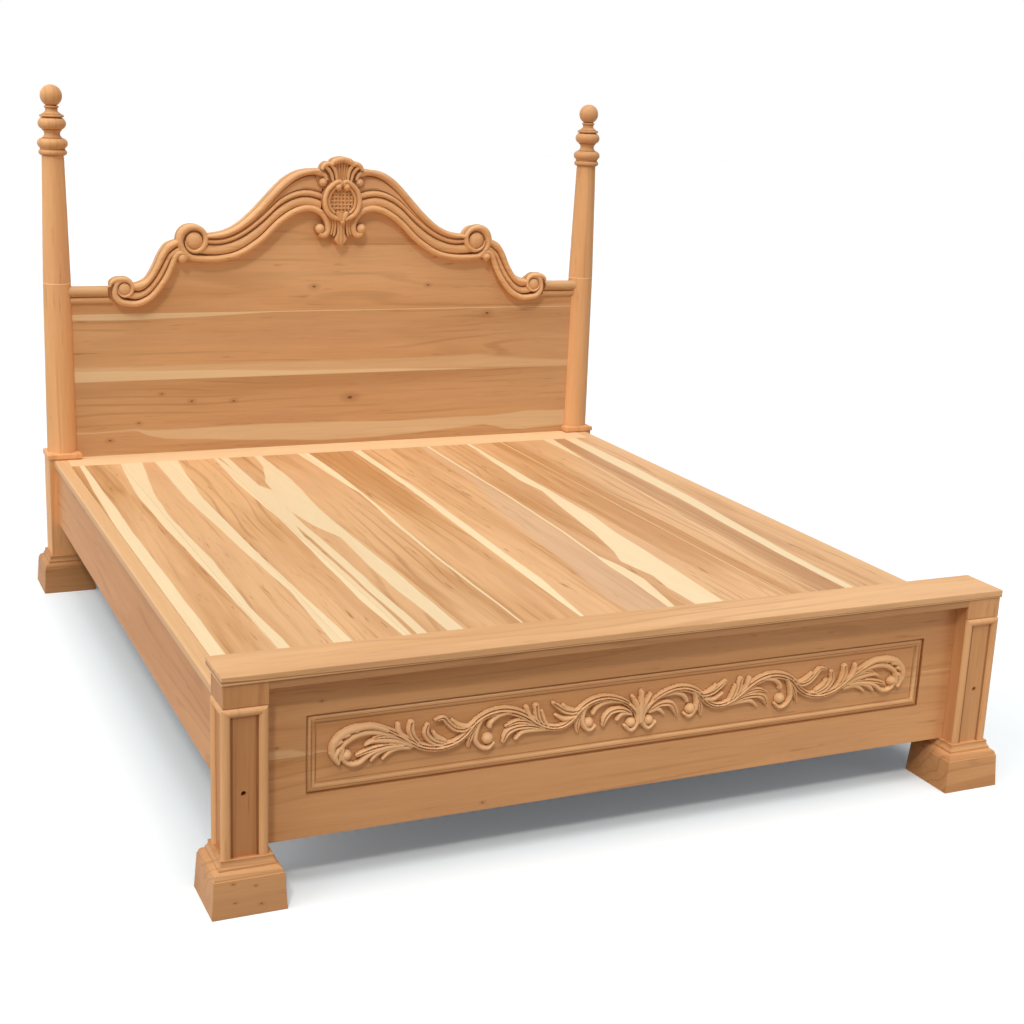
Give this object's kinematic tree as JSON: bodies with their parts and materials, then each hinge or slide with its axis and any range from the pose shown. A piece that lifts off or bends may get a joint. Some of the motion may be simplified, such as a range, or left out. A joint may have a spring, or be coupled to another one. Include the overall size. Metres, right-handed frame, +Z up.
{
  "type": "four-poster bed",
  "caption": "Carved hardwood bed with tall turned head posts, low square foot posts, scrolled headboard crest, carved footboard and a plank deck.",
  "frame": {"origin": "on the floor under the middle of the bed's outline", "axes": "+Z up, +Y from the footboard to the headboard, +X to the right for a viewer at the foot"},
  "size_m": [1.942, 2.317, 1.55],
  "materials": {
    "heartwood": "sanded, unfinished",
    "pale_wood": "sanded, unfinished",
    "deep_wood": "sanded, unfinished",
    "steel": "zinc plated"
  },
  "bodies": {
    "root": {"front_post_left": "heartwood", "front_post_beads_left": "heartwood", "plinth_front_left": "heartwood", "plinth_head_left": "heartwood", "head_post_left": "heartwood", "shaft_left": "heartwood", "finial_left": "heartwood", "headboard_moulding_left": "heartwood", "crest_scroll_large_left": "heartwood", "crest_scroll_small_left": "heartwood", "crest_ribbon_left": "heartwood", "side_rail_left": "heartwood", "edging_left": "pale_wood", "front_post_right": "heartwood", "front_post_beads_right": "heartwood", "plinth_front_right": "heartwood", "plinth_head_right": "heartwood", "head_post_right": "heartwood", "shaft_right": "heartwood", "finial_right": "heartwood", "headboard_moulding_right": "heartwood", "crest_scroll_large_right": "heartwood", "crest_scroll_small_right": "heartwood", "crest_ribbon_right": "heartwood", "side_rail_right": "heartwood", "edging_right": "pale_wood", "headboard_board_1": "deep_wood", "headboard_board_2": "heartwood", "headboard_board_3": "deep_wood", "headboard_board_4": "heartwood", "headboard_board_5": "deep_wood", "crest_cartouche": "pale_wood", "crest_shell": "pale_wood", "crest_leaf_drop": "pale_wood", "edging_head": "pale_wood", "footboard_board_upper": "heartwood", "footboard_cap": "heartwood", "footboard_fascia": "heartwood", "footboard_board_lower": "deep_wood", "head_cross_rail": "deep_wood", "ledger_cleats": "deep_wood", "cross_bearers": "deep_wood", "deck_plank_1": "heartwood", "deck_plank_2": "heartwood", "deck_plank_3": "pale_wood", "deck_plank_4": "heartwood", "deck_plank_5": "heartwood", "deck_plank_6": "pale_wood", "deck_plank_7": "heartwood", "deck_plank_8": "heartwood", "deck_plank_9": "pale_wood", "deck_plank_10": "heartwood", "deck_plank_11": "heartwood", "deck_plank_12": "pale_wood", "bed_bolts": "steel", "barrel_nuts": "steel", "wood_dowels": "pale_wood"}
  },
  "joints": []
}
